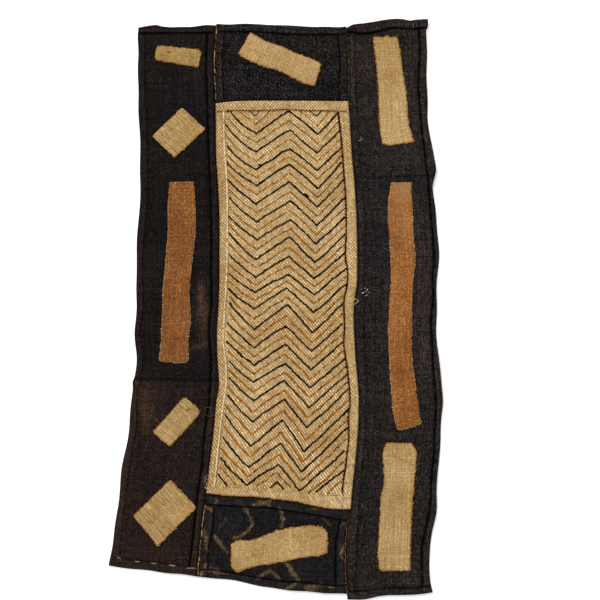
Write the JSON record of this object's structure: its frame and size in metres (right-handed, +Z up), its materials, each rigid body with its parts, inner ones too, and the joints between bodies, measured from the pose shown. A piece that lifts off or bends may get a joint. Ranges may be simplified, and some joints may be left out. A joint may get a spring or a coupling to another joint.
{
  "type": "kuba raffia cloth",
  "caption": "Patchwork cloth of woven raffia lying flat: a pale panel embroidered with chevrons, in a dark border with tan and brown pieces sewn over it.",
  "frame": {"origin": "middle of the cloth's outline, on the surface that it lies on", "axes": "+X to the cloth's right edge, +Y to its top edge, +Z up from the surface"},
  "size_m": [0.4169, 0.7264, 0.005],
  "materials": {
    "black_raffia": "plain weave, dyed black, faded and dusty",
    "umber_raffia": "plain weave, dyed black, faded to brown",
    "charcoal_raffia": "coarser plain weave, dyed black, faded to charcoal",
    "resist_dyed_raffia": "plain weave, dyed black with tan resist marks",
    "straw_raffia": "coarse undyed plain weave, stem-stitch embroidery",
    "tan_raffia": "undyed plain weave, overcast edges",
    "brown_raffia": "fine plain weave, dyed orange brown"
  },
  "bodies": {
    "root": {"panel_left_upper": "black_raffia", "panel_left_lower": "umber_raffia", "panel_top": "black_raffia", "panel_centre": "straw_raffia", "panel_bottom": "resist_dyed_raffia", "panel_right_upper": "charcoal_raffia", "panel_right_lower": "charcoal_raffia", "patch_left_label": "tan_raffia", "patch_left_diamond": "tan_raffia", "patch_left_long": "brown_raffia", "patch_left_slant": "tan_raffia", "patch_left_square": "tan_raffia", "patch_top": "tan_raffia", "patch_right_upper": "tan_raffia", "patch_right_long": "brown_raffia", "patch_right_lower": "tan_raffia", "patch_bottom": "tan_raffia"}
  },
  "joints": []
}
